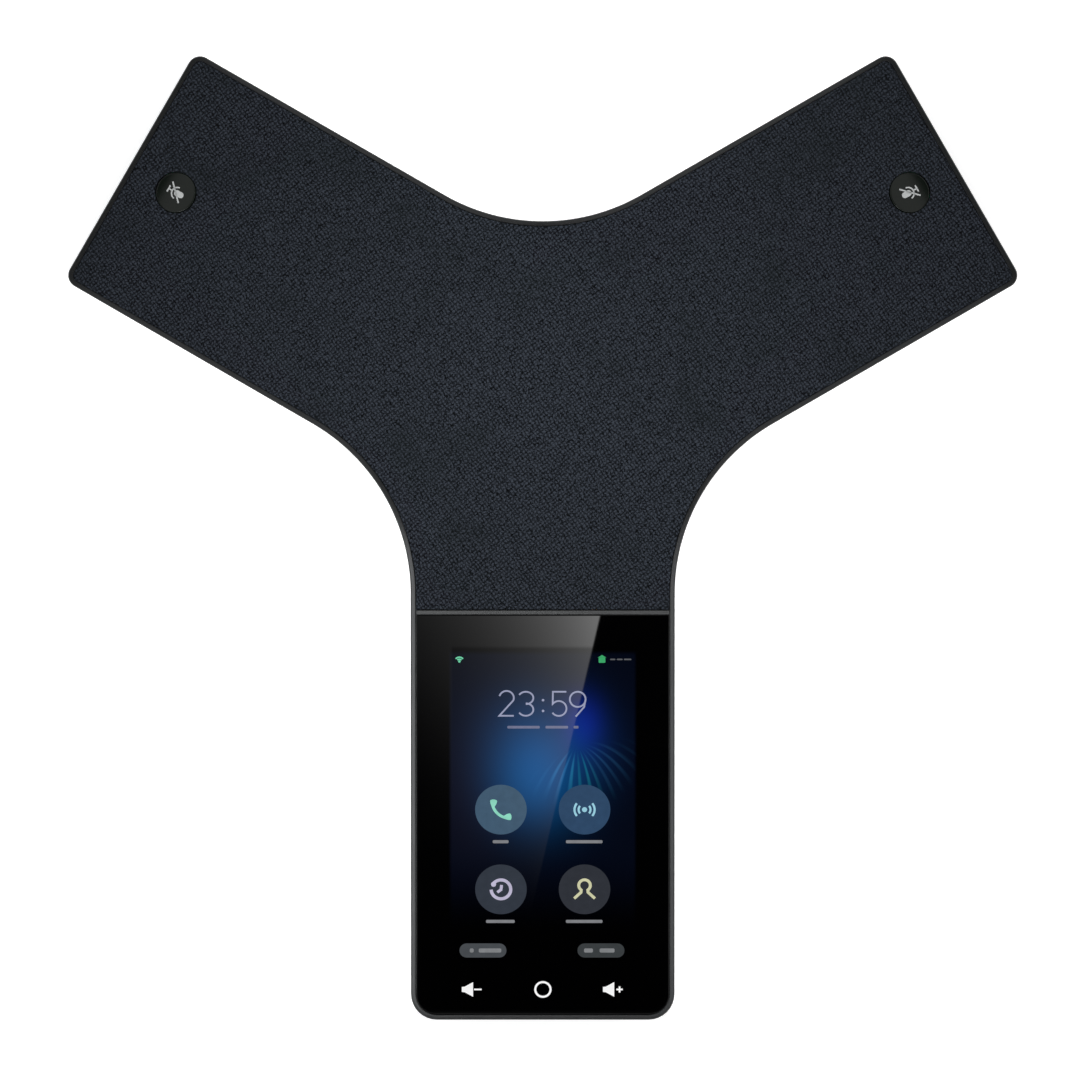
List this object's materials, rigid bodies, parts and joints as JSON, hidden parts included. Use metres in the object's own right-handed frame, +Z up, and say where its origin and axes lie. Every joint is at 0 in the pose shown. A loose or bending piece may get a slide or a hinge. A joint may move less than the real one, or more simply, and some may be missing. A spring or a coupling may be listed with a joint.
{
  "type": "desk conference phone",
  "caption": "Y-shaped desk conference phone: cloth-covered arms over a loudspeaker, a sloped touch screen on the front leg, sockets in the rear notch.",
  "frame": {"origin": "centre of the bounding box on the plane of the feet", "axes": "+Z up, the leg with the screen towards -Y, +X to the right of a user facing the screen"},
  "size_m": [0.3112, 0.316, 0.0657],
  "materials": {
    "black_plastic": "fine moulded grain",
    "gunmetal_trim": "satin metallic",
    "cloth": "fine woven",
    "black_glass": "polished, backed in black",
    "rubber": "matt",
    "steel": "plated",
    "dark_steel": "black coated",
    "ferrite": "matt",
    "copper": "wound wire on a former",
    "board": "solder mask",
    "white_plastic": "satin",
    "clear_plastic": "clear",
    "foam": "closed-cell foam",
    "cone_paper": "pressed fibre",
    "film": "polyimide film",
    "label_film": "silver film, blank",
    "wire_jacket": "matt"
  },
  "bodies": {
    "phone": {"bottom_housing": "black_plastic", "trim_rim": "gunmetal_trim", "fabric_cover": "cloth", "grille_carrier": "black_plastic", "divider_bar": "gunmetal_trim", "screen_glass": "black_glass", "mute_lens_left": "black_glass", "mute_lens_right": "black_glass", "foot_front": "rubber", "foot_left": "rubber", "foot_right": "rubber", "rating_label": "label_film", "lock_slot_insert": "steel", "io_bezel": "black_plastic", "glass_gasket": "foam", "lcd_panel": "black_glass", "backlight_unit": "white_plastic", "display_bracket": "dark_steel", "key_light_guide": "clear_plastic", "key_board": "board", "display_flex": "film", "mainboard": "board", "soc_shield": "steel", "wifi_antenna": "steel", "ethernet_jack": "steel", "usb_a_port": "steel", "usb_c_port": "steel", "poe_transformer": "ferrite", "speaker_enclosure": "black_plastic", "speaker_basket": "dark_steel", "speaker_yoke": "steel", "speaker_magnet": "ferrite", "speaker_top_plate": "steel", "speaker_surround": "rubber", "speaker_spider": "film", "speaker_gasket": "foam", "speaker_lead": "wire_jacket", "mic_board_left": "board", "mic_board_right": "board", "mic_board_front": "board", "mic_gasket_left": "foam", "mic_gasket_right": "foam", "mic_gasket_front": "foam", "mute_board_left": "board", "mute_board_right": "board", "mute_light_guide_left": "clear_plastic", "mute_light_guide_right": "clear_plastic", "arm_cable_left": "wire_jacket", "arm_cable_right": "wire_jacket", "front_mic_cable": "wire_jacket", "speaker_screw_front": "steel", "speaker_screw_left": "steel", "speaker_screw_right": "steel", "housing_screw_arm_left": "steel", "housing_screw_arm_right": "steel", "housing_screw_leg_left": "steel", "housing_screw_leg_right": "steel"},
    "diaphragm": {"speaker_cone": "cone_paper", "voice_coil": "copper", "dust_cap": "cone_paper"}
  },
  "joints": [
    {"name": "diaphragm_stroke", "type": "slide", "parent": "phone", "child": "diaphragm", "axis": [0, 0, 1], "range_m": [-0.0015, 0.0015], "stiffness_N_per_m": 1500}
  ]
}
